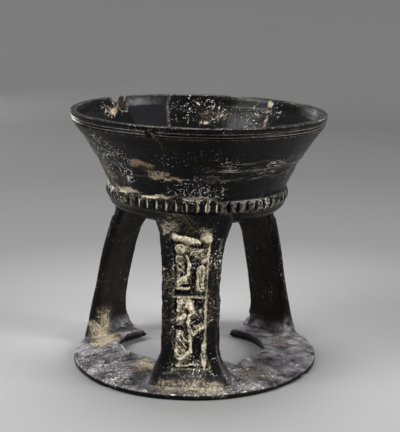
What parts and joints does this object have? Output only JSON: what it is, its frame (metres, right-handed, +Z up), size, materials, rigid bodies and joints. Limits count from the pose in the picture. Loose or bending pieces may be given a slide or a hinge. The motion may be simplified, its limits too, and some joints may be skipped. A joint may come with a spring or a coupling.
{
  "type": "tripod chalice",
  "caption": "Flaring drinking bowl with a notched ridge, carried by relief-panelled strap legs on a flat ring foot whose back is lost.",
  "frame": {"origin": "on the ground, under the middle of the whole object's bounding box", "axes": "+Z up from the ground to the rim, -Y towards the front relief leg, +X to the right as the front leg is seen"},
  "size_m": [0.1533, 0.152, 0.1553],
  "materials": {
    "bucchero": "satin"
  },
  "bodies": {
    "root": {"chalice": "bucchero"}
  },
  "joints": []
}
